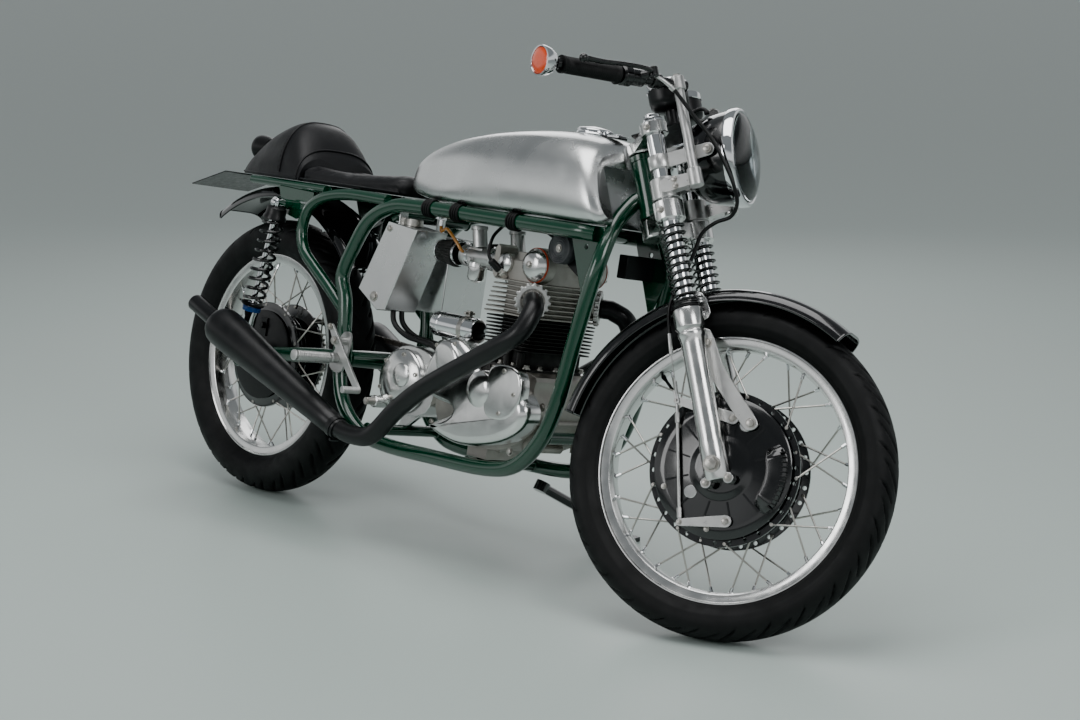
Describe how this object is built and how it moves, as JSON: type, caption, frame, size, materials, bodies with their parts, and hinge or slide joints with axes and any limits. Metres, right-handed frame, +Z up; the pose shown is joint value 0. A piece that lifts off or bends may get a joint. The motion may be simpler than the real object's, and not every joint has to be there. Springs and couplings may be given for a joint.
{
  "type": "cafe racer motorcycle",
  "caption": "Parked single-seat motorcycle with low bars, finned engine, alloy fuel tank, humped seat, spoked wheels, turning fork and folding side stand.",
  "frame": {"origin": "on the ground under the middle of the bounding box, with the motorcycle leaning on its side stand", "axes": "+X forward along the bike, +Y to its left, +Z up; the ground is z = 0"},
  "size_m": [2.063, 0.7048, 1.103],
  "materials": {
    "green_enamel": "deep gloss green enamel",
    "black_enamel": "gloss black enamel",
    "black_coating": "satin black coating",
    "brushed_alloy": "brushed",
    "polished_alloy": "polished",
    "cast_alloy": "fine sand-cast, satin",
    "chrome": "mirror plated",
    "steel": "satin zinc",
    "fin_black": "heat-resistant satin black",
    "tyre_rubber": "matt with a worn sheen",
    "rubber": "matt",
    "seat_leather": "black, fine grain",
    "black_plastic": "satin black"
  },
  "bodies": {
    "chassis": {"frame": "green_enamel", "subframe": "green_enamel", "swingarm": "green_enamel", "rear_axle": "steel", "damper_right": "black_enamel", "damper_left": "black_enamel", "crankcase": "cast_alloy", "cylinder_barrel": "fin_black", "cylinder_head": "cast_alloy", "timing_cover": "polished_alloy", "primary_case": "polished_alloy", "gearbox": "polished_alloy", "carburettor_right": "brushed_alloy", "carburettor_left": "brushed_alloy", "exhaust_right": "black_coating", "exhaust_left": "black_coating", "oil_tank": "polished_alloy", "battery_box": "brushed_alloy", "dynamo": "chrome", "fuel_tank": "brushed_alloy", "filler_cap": "chrome", "seat_cushion": "seat_leather", "seat_hump": "seat_leather", "tail_lamp": "black_plastic", "rear_mudguard": "black_enamel", "number_plate": "black_plastic", "footrest_right": "brushed_alloy", "footrest_left": "brushed_alloy", "horn": "black_plastic", "drive_chain": "steel", "regulator": "black_plastic"},
    "steering": {"lower_yoke": "polished_alloy", "top_yoke": "polished_alloy", "fork_tube_right": "chrome", "fork_tube_left": "chrome", "fork_slider_right": "polished_alloy", "fork_slider_left": "polished_alloy", "front_mudguard": "black_enamel", "head_lamp": "black_enamel", "handlebar_right": "black_coating", "handlebar_left": "black_coating", "instruments": "black_plastic", "front_axle": "steel", "brake_plate": "black_enamel", "brake_cable": "rubber", "dial_lead_right": "rubber", "dial_lead_left": "rubber"},
    "front_wheel": {"front_tyre": "tyre_rubber", "front_wheel": "polished_alloy"},
    "rear_wheel": {"rear_tyre": "tyre_rubber", "rear_wheel": "polished_alloy"},
    "side_stand": {"side_stand": "black_enamel"}
  },
  "joints": [
    {"name": "steering", "type": "hinge", "parent": "chassis", "child": "steering", "pos_m": [0.46017, -0.01446, 0.75497], "axis": [-0.4226, 0.1783, 0.8886], "range_deg": [-49.2, 0]},
    {"name": "front_wheel_spin", "type": "hinge", "parent": "steering", "child": "front_wheel", "pos_m": [0.72878, -0.08037, 0.30567], "axis": [-0.3778, 0.8566, -0.3515], "continuous": true},
    {"name": "rear_wheel_spin", "type": "hinge", "parent": "chassis", "child": "rear_wheel", "pos_m": [-0.6975, -0.10261, 0.31955], "axis": [-0.0006, 0.9804, -0.197], "continuous": true},
    {"name": "side_stand_fold", "type": "hinge", "parent": "chassis", "child": "side_stand", "pos_m": [0.132, -0.01314, 0.14313], "axis": [0.0179, 0.5612, 0.8275], "range_deg": [0, 104]}
  ]
}
